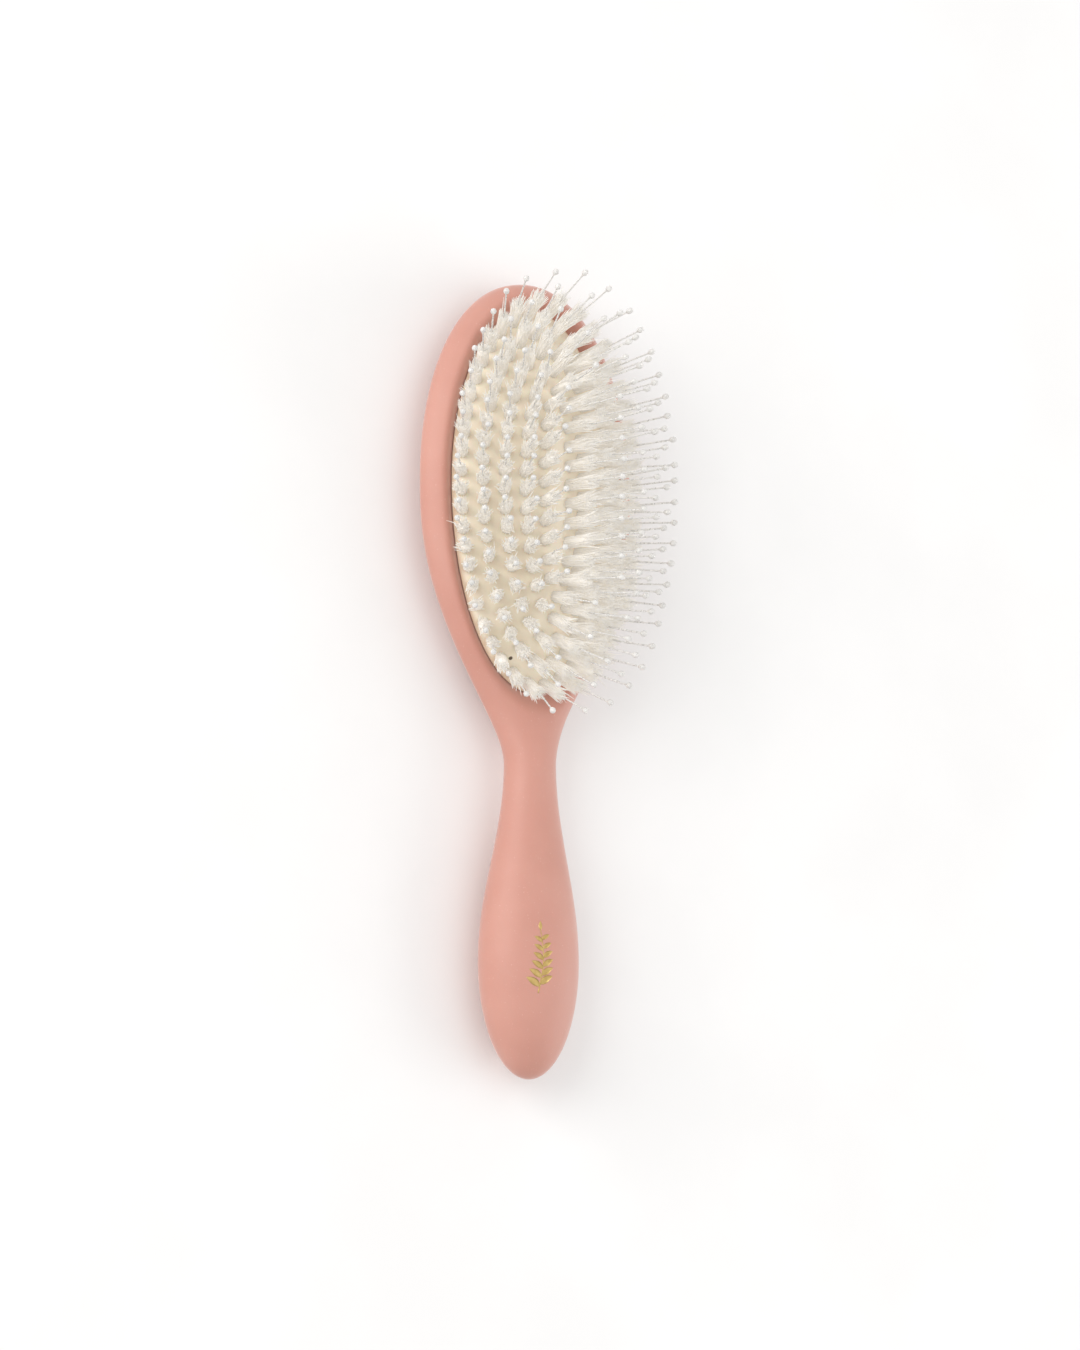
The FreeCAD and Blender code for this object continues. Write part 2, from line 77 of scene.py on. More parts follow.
TUFT_LENGTH, PIN_LENGTH = 0.0126, 0.0210
TUFT_REACH, TRIM_REACH = 0.00162, 0.0016
PIN_ROOT = -0.00065
BALL_RADIUS = 0.00085
BALL_WIDE, BALL_TALL = 1.05, 1.25
ROUNDNESS = 0.7
LEVEL_STRETCH = 1.15
RINGS = 5
STRADDLING_RINGS = 3

# the cushion's two half ellipses meet on the head's widest line
PAD_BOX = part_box("cushion_pad")
FLANGE = 0.0022
HEAD_Y = PAD_BOX[1][1] - PAD_TIP - FLANGE
WAIST_Y = HEAD_Y - HEAD_FLARE
HANDLE_Y = HEAD_Y + HEAD_TIP - LENGTH + HANDLE_END

SPRIG_X, SPRIG_Y = -0.0034, HANDLE_Y - 0.0012
SPRIG_TALL = 0.018
FOIL_LIFT, FOIL_THICK = 0.000004, 0.000035


# ---- meshes ----------------------------------------------------------------------------------------------

def add_mesh(name, points, faces, material, smooth=True):
    """A Blender object from an array of points and a list of face index arrays, one per corner count."""
    mesh = bpy.data.meshes.new(name)
    corners = np.concatenate([face.ravel() for face in faces])
    counts = np.concatenate([np.full(len(face), face.shape[1]) for face in faces])
    starts = np.concatenate([[0], np.cumsum(counts)[:-1]])
    mesh.vertices.add(len(points))
    mesh.vertices.foreach_set("co", np.ascontiguousarray(points, dtype=np.float32).ravel())
    mesh.loops.add(len(corners))
    mesh.loops.foreach_set("vertex_index", corners.astype(np.int32))
    mesh.polygons.add(len(counts))
    mesh.polygons.foreach_set("loop_start", starts.astype(np.int32))
    mesh.polygons.foreach_set("use_smooth", np.full(len(counts), smooth))
    mesh.update(calc_edges=True)
    mesh.validate()
    piece = bpy.data.objects.new(name, mesh)
    bpy.context.scene.collection.objects.link(piece)
    mesh.materials.append(material)
    return piece


def grid_faces(rows, columns, wrap):
    """Quads of a grid of rows x columns points; wrap closes each row round on itself."""
    last = columns if wrap else columns - 1
    i, j = np.meshgrid(np.arange(rows - 1), np.arange(last), indexing="ij")
    j_next = (j + 1) % columns
    quads = [i * columns + j, i * columns + j_next, (i + 1) * columns + j_next, (i + 1) * columns + j]
    return np.stack(quads, axis=-1).reshape(-1, 4)


def fan_faces(centre, ring, backwards):
    """Triangles from one point to a closed ring of points."""
    after = np.roll(ring, -1)
    ends = (after, ring) if backwards else (ring, after)
    return np.stack([np.full(len(ring), centre), ends[0], ends[1]], axis=-1)


def face_out(piece):
    """Turn every face outwards on a closed piece."""
    work = bmesh.new()
    work.from_mesh(piece.data)
    bmesh.ops.remove_doubles(work, verts=work.verts, dist=1e-6)
    bmesh.ops.recalc_face_normals(work, faces=work.faces)
    work.to_mesh(piece.data)
    work.free()
    piece.data.polygons.foreach_set("use_smooth", np.full(len(piece.data.polygons), True))
    piece.data.update()


def soft_min(a, b, blend):
    """The lower of two heights, rounded over where they are within `blend` of each other."""
    share = np.clip(0.5 + 0.5 * (b - a) / blend, 0, 1)
    return b + (a - b) * share - blend * share * (1 - share)


def soft_max(a, b, blend):
    return -soft_min(-a, -b, blend)


# ---- the paddle ------------------------------------------------------------------------------------------

def section_at(y):
    """Half width, top and bottom of the paddle's elliptical section at y, each an array.

    The head's tip is a superellipse, the flare into the neck a power of a power, the handle's rise half a
    cosine wave, and its end an ellipse.
    """
    tip = np.clip((y - HEAD_Y) / HEAD_TIP, 0, 1)
    tip_wide = (1 - tip ** 2.1) ** (1 / 2.1)
    tip_deep = (1 - tip ** 2.6) ** (1 / 2.6)
    flare = np.clip((HEAD_Y - y) / HEAD_FLARE, 0, 1)
    head_share = (1 - flare ** 2.4) ** 1.7
    dip = np.sin(np.pi * flare ** 2.5) ** 2
    rise = np.clip((WAIST_Y - y) / (WAIST_Y - HANDLE_Y), 0, 1)
    handle_share = (1 - np.cos(np.pi * rise)) / 2
    end = np.clip((HANDLE_Y - y) / HANDLE_END, 0, 1)
    end_round = np.sqrt(1 - end ** 2)
    half = NECK_HALF + (HEAD_HALF - NECK_HALF) * head_share + (HANDLE_HALF - NECK_HALF) * handle_share
    top = NECK_TOP + (HEAD_TOP - NECK_TOP) * head_share + (HANDLE_TOP - NECK_TOP) * handle_share
    top = top - THROAT_DIP * dip
    bottom = NECK_BOTTOM + (HEAD_BOTTOM - NECK_BOTTOM) * head_share
    bottom = bottom + (HANDLE_BOTTOM - NECK_BOTTOM) * handle_share
    middle = (top + bottom) / 2
    depth = (top - bottom) / 2 * tip_deep * end_round
    return half * tip_wide * end_round, middle + depth, middle - depth


def egg_distance(x, y):
    """Signed distance, nearly, from the cushion's edge: positive outside its two half ellipses."""
    along = y - HEAD_Y
    length = np.where(along > 0, PAD_TIP, PAD_THROAT)
    level = np.sqrt((x / PAD_HALF) ** 2 + (along / length) ** 2)
    gradient = np.sqrt((x / PAD_HALF ** 2) ** 2 + (along / length ** 2) ** 2) / np.maximum(level, 1e-6)
    return (level - 1) / np.maximum(gradient, 1 / length)


def carve(points):
    """Lower the paddle's top to the rim's sloping wall round the cushion, with a rounded crest."""
    x, y, z = points[..., 0], points[..., 1], points[..., 2]
    outside = egg_distance(x, y) - MOUTH_GAP
    wall = LIP_TOP + outside / math.tan(RIM_SLOPE)
    # under the cushion the wall runs on down to a level floor
    wall = np.maximum(wall, LIP_TOP - WALL_FOOT)
    upper = z > CARVE_ABOVE
    carved = soft_min(z, wall, CREST_BLEND)
    points[..., 2] = np.where(upper & (y > WAIST_Y), carved, z)
    points[..., 2] = soft_max(points[..., 2], np.zeros_like(z), LAND_BLEND)
    return points


def make_paddle(material):
    """Closed skin of head, neck and handle: ellipses stacked along y, closed by a point at each end."""
    around = 288
    head_rows = 210
    turn = np.linspace(0, 2 * np.pi, around, endpoint=False)
    # rows crowd towards both ends, where the form closes
    tip_turn = np.linspace(0.004, 1, head_rows)
    head = HEAD_Y + HEAD_TIP - (HEAD_TIP + HEAD_FLARE) * (1 - np.cos(tip_turn * np.pi / 2)) ** 0.92
    handle_turn = np.linspace(0, 1, head_rows // 2)[1:-1]
    end_y = HANDLE_Y - HANDLE_END
    handle = WAIST_Y - (WAIST_Y - end_y) * np.sin(handle_turn * np.pi / 2)
    y = np.concatenate([head, handle])
    half, top, bottom = section_at(y)
    middle, depth = (top + bottom) / 2, (top - bottom) / 2
    x = half[:, None] * np.cos(turn)
    z = middle[:, None] + depth[:, None] * np.sin(turn)
    points = np.stack([x, np.broadcast_to(y[:, None], x.shape), z], axis=-1)
    points = carve(points)
    flat = points.reshape(-1, 3)
    tip = [[0, HEAD_Y + HEAD_TIP, (HEAD_TOP + HEAD_BOTTOM) / 2]]
    end = [[0, end_y, (HANDLE_TOP + HANDLE_BOTTOM) / 2]]
    flat = np.concatenate([flat, tip, end])
    rows = len(y)
    first = np.arange(around)
    last = (rows - 1) * around + np.arange(around)
    faces = [
        grid_faces(rows, around, True),
        np.concatenate([
            fan_faces(rows * around, first, True),
            fan_faces(rows * around + 1, last, False),
        ]),
    ]
    piece = add_mesh("paddle_body", flat, faces, material)
    face_out(piece)
    return piece


# ---- the cushion -----------------------------------------------------------------------------------------

def dome_height(level):
    """Height over the cushion's edge: a hyperbola in the level, flat at the ridge, nearly straight below."""
    spread = np.sqrt(ROUNDNESS ** 2 + (1 + 2 * ROUNDNESS) * (1 - level) ** 2)
    return PAD_RISE * (1 + ROUNDNESS - spread)


def dome_slope(level):
    spread = np.sqrt(ROUNDNESS ** 2 + (1 + 2 * ROUNDNESS) * (1 - level) ** 2)
    return PAD_RISE * (1 + 2 * ROUNDNESS) * (1 - level) / spread / PAD_HALF


def level_point(level, turn):
    """Point of the level line `level` at angle `turn` from the tip, and the length of its ellipse's end."""
    drawn_in = LEVEL_STRETCH * PAD_HALF * level
    length = np.where(np.cos(turn) > 0, PAD_TIP, PAD_THROAT) - drawn_in
    return PAD_HALF * (1 - level) * np.sin(turn), length * np.cos(turn), length


def ring_tufts(ring):
    """Feet and directions of a ring's tufts: evenly spaced on a level line, upright to the dome."""
    level = (FIRST_INSET + ring * RING_STEP) / PAD_HALF
    turn = np.linspace(0, 2 * np.pi, 1441)
    x, y, _ = level_point(level, turn)
    travelled = np.concatenate([[0], np.cumsum(np.hypot(np.diff(x), np.diff(y)))])
    count = 2 * round(travelled[-1] / TUFT_PITCH / 2)
    start = 0.5 if ring < STRADDLING_RINGS else 0.0
    wanted = travelled[-1] * (np.arange(count) + start) / count
    x, y = np.interp(wanted, travelled, x), np.interp(wanted, travelled, y)
    half = PAD_HALF * (1 - level)
    length = np.where(y > 0, PAD_TIP, PAD_THROAT) - LEVEL_STRETCH * PAD_HALF * level
    crowding = x ** 2 / half ** 3 + LEVEL_STRETCH * y ** 2 / length ** 3
    lean = dome_slope(level) / crowding
    ways = np.stack([x / half ** 2 * lean, y / length ** 2 * lean, np.ones_like(x)], axis=-1)
    ways /= np.linalg.norm(ways, axis=1, keepdims=True)
    height = PAD_EDGE + dome_height(np.full_like(x, level))
    return np.stack([x, HEAD_Y + y, height], axis=-1), ways


def make_cushion(material, feet):
    """Domed rubber skin, closed underneath and dimpled where each tuft goes in.

    Rows run from the ridge down the level lines to the edge, over it, and back underneath. The vent near the
    neck is painted shade: a dark spot of the rubber's finish, with no hole in this skin.
    """
    around = 400
    levels = np.linspace(1, 0, 96)
    turn = np.linspace(0, 2 * np.pi, around, endpoint=False)
    grid_turn, grid_level = np.meshgrid(turn, levels)
    x, y, _ = level_point(grid_level, grid_turn)
    z = PAD_EDGE + dome_height(grid_level)
    apart = np.sqrt((x[..., None] - feet[:, 0]) ** 2 + (y[..., None] + HEAD_Y - feet[:, 1]) ** 2)
    nearest = apart.min(axis=-1)
    # a soft pit round each tuft, with a faint raised lip outside it
    pit = np.exp(-(nearest / DIMPLE_RADIUS) ** 4) * DIMPLE_DEPTH
    lip = np.exp(-((nearest - DIMPLE_LIP_RADIUS) / DIMPLE_LIP_WIDTH) ** 2) * DIMPLE_LIP_HEIGHT
    z = z - pit + lip
    top = np.stack([x, y + HEAD_Y, z], axis=-1)
    edge_x, edge_y, _ = level_point(0 * turn, turn)
    rows = [top]
    for inward, drop in ((0.02, 0.25), (0.12, 0.42), (0.6, 0.45), (1.2, 0.3)):
        scale_x = 1 - inward * MM / PAD_HALF
        scale_y = 1 - inward * MM / PAD_THROAT
        low = np.full_like(edge_x, PAD_EDGE - drop * MM)
        rows.append(np.stack([edge_x * scale_x, edge_y * scale_y + HEAD_Y, low], axis=-1)[None])
    under = np.linspace(0.06, 1, 24)
    grid_turn, grid_level = np.meshgrid(turn, under)
    x, y, _ = level_point(grid_level, grid_turn)
    rows.append(np.stack([x, y + HEAD_Y, PAD_EDGE + dome_height(grid_level) - 1.5 * MM], axis=-1))
    points = np.concatenate(rows)
    count = len(points)
    piece = add_mesh("air_cushion", points.reshape(-1, 3), [grid_faces(count, around, True)], material)
    face_out(piece)
    return piece


# ---- bristles and pins -----------------------------------------------------------------------------------

def across_axes(ways):
    """Two unit vectors square to each direction and to each other."""
    guide = np.tile(np.array([0.0, 1.0, 0.0]), (len(ways), 1))
    side = np.cross(guide, ways)
    side /= np.linalg.norm(side, axis=1, keepdims=True)
    return side, np.cross(ways, side)


def tube_mesh(centres, radii, side, other, corners):
    """Points and faces of many closed tubes at once.

    centres is (tubes, rings, 3), radii (tubes, rings); each ring has `corners` points round the centre in
    the plane of side and other, and a flat face closes each end.
    """
    tubes, rings, _ = centres.shape
    turn = np.arange(corners) * 2 * np.pi / corners
    spokes = np.cos(turn)[:, None] * side[:, None, :] + np.sin(turn)[:, None] * other[:, None, :]
    points = centres[:, :, None, :] + radii[:, :, None, None] * spokes[:, None, :, :]
    one = grid_faces(rings, corners, True)
    base = (np.arange(tubes) * rings * corners)[:, None, None]
    quads = (base + one).reshape(-1, 4)
    foot = np.arange(corners)[::-1]
    head = (rings - 1) * corners + np.arange(corners)
    caps = (base + np.stack([foot, head])).reshape(-1, corners)
    return points.reshape(-1, 3), quads, caps


def filament_tubes(feet, ways, side, other, random):
    """Every filament of a ring: a thin tapered tube that leans out a little as it rises."""
    strands = 112
    locks = 8
    stray_share = 0.012
    count = len(feet)
    shape = (count, strands)
    spot = (0.15 + 0.85 * random.random(shape) ** 0.4) * TUFT_REACH
    angle = random.random(shape) * 2 * np.pi
    u, v = spot * np.cos(angle), spot * np.sin(angle)
    spread = 0.30 + 0.25 * random.random((count, 1))
    drift_u = u * spread + random.normal(0, 0.16 * MM, shape)
    drift_v = v * spread + random.normal(0, 0.16 * MM, shape)
    # locks of filaments gather to a few points, which gives the trimmed end its feathered look
    lock = random.integers(0, locks, shape)
    lock_angle = random.random((count, locks)) * 2 * np.pi
    lock_reach = (0.7 + 2.0 * random.random((count, locks)) ** 0.7) * MM
    lock_u = np.take_along_axis(lock_reach * np.cos(lock_angle), lock, axis=1)
    lock_v = np.take_along_axis(lock_reach * np.sin(lock_angle), lock, axis=1)
    gather = 0.45 + 0.45 * random.random(shape)
    drift_u += (lock_u - u) * gather
    drift_v += (lock_v - v) * gather
    lock_length = np.take_along_axis(0.76 + 0.24 * random.random((count, locks)), lock, axis=1)
    length = TUFT_LENGTH * lock_length * (0.90 + 0.10 * random.random(shape))
    length = length * (1 - 0.10 * (spot / TRIM_REACH) ** 2)
    stray = random.random(shape) < stray_share
    length = np.where(stray, TUFT_LENGTH * (0.95 + 0.2 * random.random(shape)), length)
    drift_u = np.where(stray, drift_u + random.normal(0, 1.3 * MM, shape), drift_u)
    drift_v = np.where(stray, drift_v + random.normal(0, 1.3 * MM, shape), drift_v)
    steps = np.array([-0.075, 0.36, 0.72, 1.0])
    taper = np.array([1.0, 1.0, 0.92, 0.30])
    bend = np.clip(steps, 0, 1) ** 2.2
    along = length[..., None] * steps
    off_u = u[..., None] + drift_u[..., None] * bend
    off_v = v[..., None] + drift_v[..., None] * bend
    centres = (feet[:, None, None, :] + along[..., None] * ways[:, None, None, :]
               + off_u[..., None] * side[:, None, None, :] + off_v[..., None] * other[:, None, None, :])
    thick = (0.155 + 0.045 * random.random(shape)) * MM
    radii = thick[..., None] * taper
    tubes = count * strands
    return tube_mesh(
        centres.reshape(tubes, len(steps), 3), radii.reshape(tubes, len(steps)),
        np.repeat(side, strands, axis=0), np.repeat(other, strands, axis=0), 3)


def core_tubes(feet, ways, side, other, random):
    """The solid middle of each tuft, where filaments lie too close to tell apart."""
    steps = np.array([-0.075, 0.0, 0.30, 0.52, 0.62, 0.68])
    shape = np.array([1.36, 1.36, 1.44, 1.36, 1.0, 0.35]) * MM
    centres = feet[:, None, :] + (TUFT_LENGTH * steps)[None, :, None] * ways[:, None, :]
    radii = shape * (0.96 + 0.08 * random.random((len(feet), 1)))
    return tube_mesh(centres, radii, side, other, 12)


def make_tufts(ring, feet, ways, material, random):
    """One ring's bristle tufts: loose filaments round packed cores."""
    side, other = across_axes(ways)
    points, quads, caps = filament_tubes(feet, ways, side, other, random)
    core_points, core_quads, core_caps = core_tubes(feet, ways, side, other, random)
    offset = len(points)
    faces = [quads, caps, core_quads + offset, core_caps + offset]
    return add_mesh(f"filament_tufts_{ring + 1}", np.concatenate([points, core_points]), faces, material)


def make_pins(ring, feet, ways, material, random):
    """One ring's nylon pins: a slender tube that swells into a ball, each leaning its own way a little."""
    count = len(feet)
    side, other = across_axes(ways)
    tilt = random.normal(0, 0.022, (count, 2))
    ways = ways + tilt[:, :1] * side + tilt[:, 1:] * other
    ways /= np.linalg.norm(ways, axis=1, keepdims=True)
    side, other = across_axes(ways)
    # shaft rings, then the ball's rings, whose heights and radii are those of an ellipse's points
    shaft_heights = np.array([PIN_ROOT, 0.55 * PIN_LENGTH, PIN_LENGTH - 1.35 * MM])
    shaft_radii = np.array([0.28, 0.26, 0.25]) * MM
    lift = np.radians(np.array([-66, -40, -14, 14, 40, 66, 84]))
    ball_heights = PIN_LENGTH + BALL_TALL * BALL_RADIUS * np.sin(lift)
    ball_radii = BALL_WIDE * BALL_RADIUS * np.cos(lift)
    heights = np.concatenate([shaft_heights, ball_heights])
    radii = np.tile(np.concatenate([shaft_radii, ball_radii]), (count, 1))
    reach = 1 + random.normal(0, 0.012, (count, 1))
    along = heights[None, :] * reach
    bow = random.normal(0, 0.25 * MM, (count, 2))
    curve = np.sin(np.pi * np.clip(along / PIN_LENGTH, 0, 1))
    centres = feet[:, None, :] + along[..., None] * ways[:, None, :]
    centres += (bow[:, :1] * curve)[..., None] * side[:, None, :]
    centres += (bow[:, 1:] * curve)[..., None] * other[:, None, :]
    points, quads, caps = tube_mesh(centres, radii, side, other, 8)
    return add_mesh(f"nylon_pins_{ring + 1}", points, [quads, caps], material)


# ---- the foil ornament -----------------------------------------------------------------------------------

def handle_surface(x, y):
    """Height of the handle's upper face."""
    half, top, bottom = section_at(y)
    middle, depth = (top + bottom) / 2, (top - bottom) / 2
    return middle + depth * np.sqrt(np.clip(1 - (x / half) ** 2, 0, 1))


def stem_point(way):
    """Point of the sprig's curved stem, a share `way` up it."""
    across = SPRIG_X + 0.9 * MM * np.sin(way * np.pi * 1.1 - 0.4)
    return across, SPRIG_Y + (way - 0.5) * SPRIG_TALL


def strip(line_x, line_y, half_width, columns=5):
    """Grid of points along a line, spread half_width to each side of it."""
    step_x, step_y = np.gradient(line_x), np.gradient(line_y)
    span = np.hypot(step_x, step_y)
    across = np.linspace(-1, 1, columns)
    x = line_x[:, None] - (step_y / span * half_width)[:, None] * across
    y = line_y[:, None] + (step_x / span * half_width)[:, None] * across
    return x, y


def sprig_strips():
    """The stem, its leaves in pairs and the leaf at its end.

    A leaf is an almond: its half width is a sine of the way along it, drawn out towards its tip.
    """
    way = np.linspace(0, 1, 40)
    stem_x, stem_y = stem_point(way)
    strips = [strip(stem_x, stem_y, 0.16 * MM * (1 - 0.6 * way) + 0.02 * MM)]
    t = np.linspace(0, 1, 18)
    almond = np.sin(np.pi * t ** 0.85) ** 0.9
    pairs = 6
    for index in range(pairs):
        root = 0.10 + 0.84 * index / pairs
        leaf_length = (4.6 - 0.36 * index) * MM
        for hand in (-1, 1):
            x0, y0 = stem_point(np.array(root + 0.035 * (hand > 0)))
            lean = math.radians(42) + 0.25 * t
            line_x = x0 + hand * leaf_length * t * np.sin(lean)
            line_y = y0 + leaf_length * t * np.cos(lean)
            strips.append(strip(line_x, line_y, almond * 0.21 * leaf_length + 0.004 * MM))
    x0, y0 = stem_point(np.array(0.985))
    strips.append(strip(x0 + 0 * t, y0 + 2.6 * MM * t, almond * 0.52 * MM + 0.004 * MM))
    return strips


def make_sprig(material):
    """Generic leaf sprig in foil, laid on the handle: each strip is a thin closed skin."""
    all_points, all_faces, offset = [], [], 0
    for x, y in sprig_strips():
        rows, columns = x.shape
        low = np.stack([x, y, handle_surface(x, y) + FOIL_LIFT], axis=-1).reshape(-1, 3)
        high = low + np.array([0, 0, FOIL_THICK])
        ring = np.concatenate([
            np.arange(columns), columns * np.arange(1, rows) + columns - 1,
            (rows - 1) * columns + np.arange(columns - 2, -1, -1), columns * np.arange(rows - 2, 0, -1)])
        after = np.roll(ring, -1)
        size = rows * columns
        top_faces = grid_faces(rows, columns, False)
        walls = np.stack([ring, after, after + size, ring + size], axis=-1)
        all_points += [low, high]
        all_faces += [top_faces[:, ::-1] + offset, top_faces + size + offset, walls + offset]
        offset += 2 * size
    piece = add_mesh("foil_sprig", np.concatenate(all_points), [np.concatenate(all_faces)], material)
    face_out(piece)
    return piece


# ---- shading ---------------------------------------------------------------------------------------------

class Value:
    """A number in a node tree; arithmetic on it makes the math nodes."""

    def __init__(self, tree, socket):
        self.tree, self.socket = tree, socket

    def math(self, operation, *others):
        node = self.tree.nodes.new("ShaderNodeMath")
        node.operation = operation
        for slot, value in zip(node.inputs, (self, *others)):
            if isinstance(value, Value):
                self.tree.links.new(value.socket, slot)
            else:
                slot.default_value = value
        return Value(self.tree, node.outputs[0])

    def __add__(self, other):
        return self.math("ADD", other)

    def __mul__(self, other):
        return self.math("MULTIPLY", other)

    def __sub__(self, other):
        return self.math("SUBTRACT", other)

    def between(self, low, high, to_low=0.0, to_high=1.0):
        node = self.tree.nodes.new("ShaderNodeMapRange")
        node.interpolation_type = "SMOOTHSTEP"
        self.tree.links.new(self.socket, node.inputs["Value"])
        for name, value in (("From Min", low), ("From Max", high), ("To Min", to_low), ("To Max", to_high)):
            node.inputs[name].default_value = value
        return Value(self.tree, node.outputs["Result"])


class Finish:
    """One material: its Principled shader and short ways of adding nodes to it."""

    def __init__(self, name, **settings):
        self.material = bpy.data.materials.new(name)
        self.material.use_nodes = True
        self.tree = self.material.node_tree
        self.tree.nodes.clear()
        self.shader = self.node("ShaderNodeBsdfPrincipled")
        self.output = self.node("ShaderNodeOutputMaterial")
        self.tree.links.new(self.shader.outputs["BSDF"], self.output.inputs["Surface"])
        for socket, value in settings.items():
            self.shader.inputs[socket.replace("_", " ")].default_value = value
        self.place = self.node("ShaderNodeTexCoord").outputs["Object"]

    def node(self, kind, settings=None, **inputs):
        node = self.tree.nodes.new(kind)
        for key, value in (settings or {}).items():
            setattr(node, key, value)
        for key, value in inputs.items():
            slot = node.inputs[key.replace("_", " ")]
            value = value.socket if isinstance(value, Value) else value
            if isinstance(value, bpy.types.NodeSocket):
                self.tree.links.new(value, slot)
            else:
                slot.default_value = value
        return node

    def noise(self, scale, detail=3.0, roughness=0.5, place=None):
        node = self.node("ShaderNodeTexNoise", Vector=place or self.place, Scale=scale, Detail=detail,
                         Roughness=roughness)
        return Value(self.tree, node.outputs["Fac"])

    def stretched(self, scale):
        node = self.node("ShaderNodeVectorMath", {"operation": "MULTIPLY"})
        self.tree.links.new(self.place, node.inputs[0])
        node.inputs[1].default_value = scale
        return node.outputs["Vector"]

    def axis(self, name):
        node = self.node("ShaderNodeSeparateXYZ", Vector=self.place)
        return Value(self.tree, node.outputs[name])

    def mix(self, share, first, second):
        node = self.tree.nodes.new("ShaderNodeMix")
        node.data_type = "RGBA"
        self.tree.links.new(share.socket, node.inputs["Factor"])
        for slot, value in ((node.inputs[6], first), (node.inputs[7], second)):
            if isinstance(value, bpy.types.NodeSocket):
                self.tree.links.new(value, slot)
            else:
                slot.default_value = value
        return node.outputs[2]

    def colour(self, socket):
        self.tree.links.new(socket, self.shader.inputs["Base Color"])

    def rough(self, value):
        self.tree.links.new(value.socket, self.shader.inputs["Roughness"])

    def bump(self, height, distance, strength=1.0):
        node = self.node("ShaderNodeBump", Height=height, Distance=distance, Strength=strength)
        self.tree.links.new(node.outputs["Normal"], self.shader.inputs["Normal"])


def rgb(red, green, blue):
    """Linear colour from 0-255 display values."""
    def linear(part):
        share = part / 255
        return share / 12.92 if share <= 0.04045 else ((share + 0.055) / 1.055) ** 2.4

    return linear(red), linear(green), linear(blue), 1.0


def soft_touch():
    """Matte salmon soft-touch lacquer: faint cloudiness, fine orange peel, a few pale dust specks."""
    made = Finish("soft_touch_salmon", Roughness=0.5, Specular_IOR_Level=0.42, Sheen_Weight=0.55,
                  Sheen_Roughness=0.35, Subsurface_Weight=0.06, Subsurface_Scale=0.004)
    cloud = made.noise(38.0, 4.0)
    base = made.mix(cloud.between(0.3, 0.7), rgb(196, 140, 125), rgb(202, 147, 132))
    speck = made.noise(2600.0, 1.0).between(0.735, 0.76)
    made.colour(made.mix(speck * 0.35, base, rgb(236, 205, 194)))
    made.rough(made.noise(60.0, 5.0).between(0.25, 0.75, 0.46, 0.56))
    made.bump(made.noise(900.0, 3.0), 0.00004, 0.35)
    return made.material


def cushion_rubber():
    """Ivory rubber: a little translucent, finely grained, browner and darker near the edge as painted shade,
    with a faint painted glow.
    """
    # the emission is a faint painted glow, lifting the rubber where the tufts shade it
    made = Finish("cushion_ivory", Roughness=0.55, Specular_IOR_Level=0.35, Subsurface_Weight=0.12,
                  Subsurface_Scale=0.003, Emission_Color=rgb(236, 216, 184), Emission_Strength=0.06)
    cloud = made.noise(70.0, 4.0)
    base = made.mix(cloud.between(0.3, 0.7), rgb(235, 223, 203), rgb(242, 231, 213))
    # painted shade: browner and darker towards the cushion's edge, where the rim shades it
    low = made.axis("Z").between(PAD_EDGE - 0.0002, PAD_EDGE + 0.0010, 1.0, 0.0)
    skin = made.mix(low * 0.85, base, rgb(206, 172, 142))
    # painted shade: the vent is a dark spot standing for the shade inside a hole; the skin has no hole there
    level = (FIRST_INSET + VENT_SHARE * RING_STEP) / PAD_HALF
    across, along, _ = level_point(level, np.array(-VENT_TURN))
    vent_x = made.axis("X") - float(across)
    vent_y = made.axis("Y") - float(along + HEAD_Y)
    reach = (vent_x * vent_x + vent_y * vent_y).math("SQRT")
    hole = reach.between(VENT_RADIUS * 0.85, VENT_RADIUS * 1.1, 1.0, 0.0)
    made.colour(made.mix(hole, skin, rgb(70, 52, 40)))
    made.rough(made.noise(240.0, 4.0).between(0.3, 0.7, 0.5, 0.62))
    made.bump(made.noise(1500.0, 3.0), 0.00003, 0.4)
    return made.material


def bristle_nylon():
    """White bristle filaments: each a shade of its own, a little translucent, with a soft gleam and a faint
    painted glow.
    """
    # the emission is a painted glow, standing in for light passed on among the white filaments
    made = Finish("bristle_white", Roughness=0.42, Specular_IOR_Level=0.5,
                  Emission_Color=(1.0, 0.985, 0.955, 1.0), Emission_Strength=0.17)
    shade = made.noise(2400.0, 1.0, place=made.stretched((1.0, 1.0, 0.12)))
    made.colour(made.mix(shade.between(0.3, 0.7), rgb(247, 243, 236), rgb(255, 254, 252)))
    made.rough(made.noise(500.0, 2.0).between(0.3, 0.7, 0.36, 0.5))
    through = made.node("ShaderNodeBsdfTranslucent", Color=rgb(246, 240, 230))
    both = made.node("ShaderNodeMixShader")
    both.inputs["Fac"].default_value = 0.30
    made.tree.links.new(made.shader.outputs["BSDF"], both.inputs[1])
    made.tree.links.new(through.outputs["BSDF"], both.inputs[2])
    made.tree.links.new(both.outputs["Shader"], made.output.inputs["Surface"])
    return made.material


def pin_nylon():
    """Clear, faintly milky nylon of the ball pins."""
    made = Finish("pin_clear", Roughness=0.3, IOR=1.45, Transmission_Weight=0.28, Specular_IOR_Level=0.4)
    cloud = made.noise(900.0, 2.0)
    made.colour(made.mix(cloud.between(0.3, 0.7), rgb(232, 230, 226), rgb(243, 241, 238)))
    made.rough(made.noise(1200.0, 2.0).between(0.3, 0.7, 0.24, 0.38))
    return made.material


def moulded(name, dark, light, rough):
    """Plain moulded plastic with a fine spark-eroded grain."""
    made = Finish(name, Roughness=rough, Specular_IOR_Level=0.4)
    made.colour(made.mix(made.noise(120.0, 4.0).between(0.3, 0.7), dark, light))
    made.rough(made.noise(400.0, 4.0).between(0.3, 0.7, rough - 0.05, rough + 0.06))
    made.bump(made.noise(1800.0, 2.0), 0.00003, 0.4)
    return made.material


